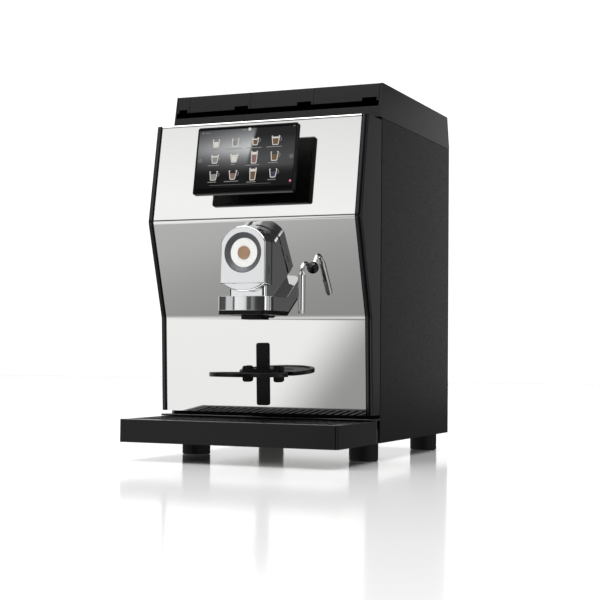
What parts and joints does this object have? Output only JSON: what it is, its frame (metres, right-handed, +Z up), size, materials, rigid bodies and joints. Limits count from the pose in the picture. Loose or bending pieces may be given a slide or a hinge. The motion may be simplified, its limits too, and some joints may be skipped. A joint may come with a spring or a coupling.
{
  "type": "coffee vending machine",
  "caption": "Countertop hot coffee machine with bent mirror-steel service door, touch screen, arched outlet head, steam wand, cup tray, drip tray and lidded hoppers.",
  "frame": {"origin": "bottom centre of the whole machine, on the counter", "axes": "+X to the machine's right seen from the front, +Y back into the machine, +Z up"},
  "size_m": [0.42, 0.6072, 0.6827],
  "materials": {
    "cabinet_black": "satin powder coat",
    "moulded_black": "satin moulded",
    "gloss_black": "gloss",
    "polished_steel": "mirror polished",
    "chrome": "chromed",
    "trim_metal": "dark satin",
    "steel": "brushed",
    "brass": "machined",
    "cast_aluminium": "cast",
    "rubber": "matte",
    "screen_glass": "gloss",
    "badge_white": "gloss",
    "badge_grey": "satin",
    "clear_brown": "tinted",
    "white_plastic": "moulded",
    "board_green": "solder resist"
  },
  "bodies": {
    "cabinet": {"base_frame": "steel", "feet": "rubber", "side_panel_left": "cabinet_black", "side_panel_right": "cabinet_black", "rear_panel": "cabinet_black", "rear_screws": "steel", "connection_tray": "cabinet_black", "power_inlet": "moulded_black", "water_inlet": "brass", "front_frame": "cabinet_black", "sill": "trim_metal", "door_hinge_pins": "steel", "grounds_container": "moulded_black", "hood": "moulded_black", "lid_hinge_rod": "steel", "bean_hopper_left": "clear_brown", "bean_hopper_right": "clear_brown", "powder_canister": "clear_brown", "mixing_bowl": "white_plastic", "grinder_left": "cast_aluminium", "grinder_right": "cast_aluminium", "brew_frame": "steel", "brew_cylinder": "white_plastic", "steam_boiler": "steel", "coffee_boiler": "steel", "pump": "brass", "control_board": "board_green", "fan_housing": "moulded_black"},
    "door": {"door_shell": "moulded_black", "front_sheet": "polished_steel", "trim_left": "trim_metal", "trim_right": "trim_metal", "cup_rail": "moulded_black", "outlet_plate": "chrome", "badge_ring": "badge_grey", "badge_disc": "badge_white", "outlet_housing": "chrome", "outlet_collar": "chrome", "spout_block": "moulded_black", "display_arm": "moulded_black"},
    "screen": {"display_housing": "gloss_black", "display_glass": "screen_glass"},
    "wand_joint": {"wand_ball": "gloss_black"},
    "wand": {"wand_tube": "chrome", "wand_sleeve": "polished_steel"},
    "cup_tray": {"cup_carriage": "rubber", "cup_ring": "moulded_black"},
    "drip_tray_body": {"drip_tray": "moulded_black"},
    "grid": {"drip_grid": "moulded_black"},
    "tablet_lid": {"lid_tablet": "moulded_black"},
    "left_bean_lid": {"lid_beans_left": "moulded_black"},
    "right_bean_lid": {"lid_beans_right": "moulded_black"},
    "powder_lid": {"lid_powder": "moulded_black"},
    "left_burr": {"burr_left": "steel"},
    "right_burr": {"burr_right": "steel"},
    "auger": {"powder_auger": "white_plastic"},
    "fan": {"fan_rotor": "moulded_black"},
    "piston": {"brew_piston": "moulded_black"},
    "spindle": {"brew_spindle": "steel"},
    "rocker": {"power_rocker": "gloss_black"}
  },
  "joints": [
    {"name": "door_hinge", "type": "hinge", "parent": "cabinet", "child": "door", "pos_m": [-0.204, -0.1128, 0.35], "axis": [0, 0, -1], "range_deg": [0, 105]},
    {"name": "screen_tilt", "type": "hinge", "parent": "door", "child": "screen", "pos_m": [0, -0.21002, 0.53223], "axis": [1, 0, 0], "range_deg": [-10, 15]},
    {"name": "wand_swing", "type": "hinge", "parent": "door", "child": "wand_joint", "pos_m": [0.1095, -0.18097, 0.345], "axis": [0, 1, 0], "range_deg": [-18, 35]},
    {"name": "wand_tilt", "type": "hinge", "parent": "wand_joint", "child": "wand", "pos_m": [0.1095, -0.18097, 0.345], "axis": [-1, 0, 0], "range_deg": [-12, 30]},
    {"name": "cup_tray_height", "type": "slide", "parent": "door", "child": "cup_tray", "axis": [0, -0.047, 0.9989], "range_m": [-0.038, 0.038]},
    {"name": "drip_tray_slide", "type": "slide", "parent": "cabinet", "child": "drip_tray_body", "axis": [0, -1, 0], "range_m": [0, 0.16]},
    {"name": "grid_lift", "type": "slide", "parent": "drip_tray_body", "child": "grid", "axis": [0, 0, 1], "range_m": [0, 0.02]},
    {"name": "tablet_lid_hinge", "type": "hinge", "parent": "cabinet", "child": "tablet_lid", "pos_m": [0, 0.1962, 0.6762], "axis": [-1, 0, 0], "range_deg": [0, 90]},
    {"name": "left_bean_lid_hinge", "type": "hinge", "parent": "cabinet", "child": "left_bean_lid", "pos_m": [0, 0.1962, 0.6762], "axis": [-1, 0, 0], "range_deg": [0, 90]},
    {"name": "right_bean_lid_hinge", "type": "hinge", "parent": "cabinet", "child": "right_bean_lid", "pos_m": [0, 0.1962, 0.6762], "axis": [-1, 0, 0], "range_deg": [0, 90]},
    {"name": "powder_lid_hinge", "type": "hinge", "parent": "cabinet", "child": "powder_lid", "pos_m": [0, 0.1962, 0.6762], "axis": [-1, 0, 0], "range_deg": [0, 90]},
    {"name": "left_burr_spin", "type": "hinge", "parent": "cabinet", "child": "left_burr", "pos_m": [-0.1164, 0.0662, 0.46], "axis": [0, 0, 1], "continuous": true},
    {"name": "right_burr_spin", "type": "hinge", "parent": "cabinet", "child": "right_burr", "pos_m": [0.012, 0.0662, 0.46], "axis": [0, 0, 1], "continuous": true},
    {"name": "auger_spin", "type": "hinge", "parent": "cabinet", "child": "auger", "pos_m": [0.1404, 0.0462, 0.514], "axis": [0, 1, 0], "continuous": true},
    {"name": "fan_spin", "type": "hinge", "parent": "cabinet", "child": "fan", "pos_m": [-0.1164, 0.286, 0.497], "axis": [0, 1, 0], "continuous": true},
    {"name": "piston_press", "type": "slide", "parent": "cabinet", "child": "piston", "axis": [0, 0, -1], "range_m": [0, 0.038]},
    {"name": "spindle_turn", "type": "hinge", "parent": "cabinet", "child": "spindle", "pos_m": [0, 0.0022, 0.3], "axis": [0, 0, 1], "range_deg": [0, 2740]},
    {"name": "power_switch", "type": "hinge", "parent": "cabinet", "child": "rocker", "pos_m": [-0.036, 0.263, 0.082], "axis": [0, 0, 1], "range_deg": [-8, 8]}
  ],
  "couplings": [
    {"joint": "spindle_turn", "follows": "piston_press", "rad_per_m": 1256.6}
  ]
}
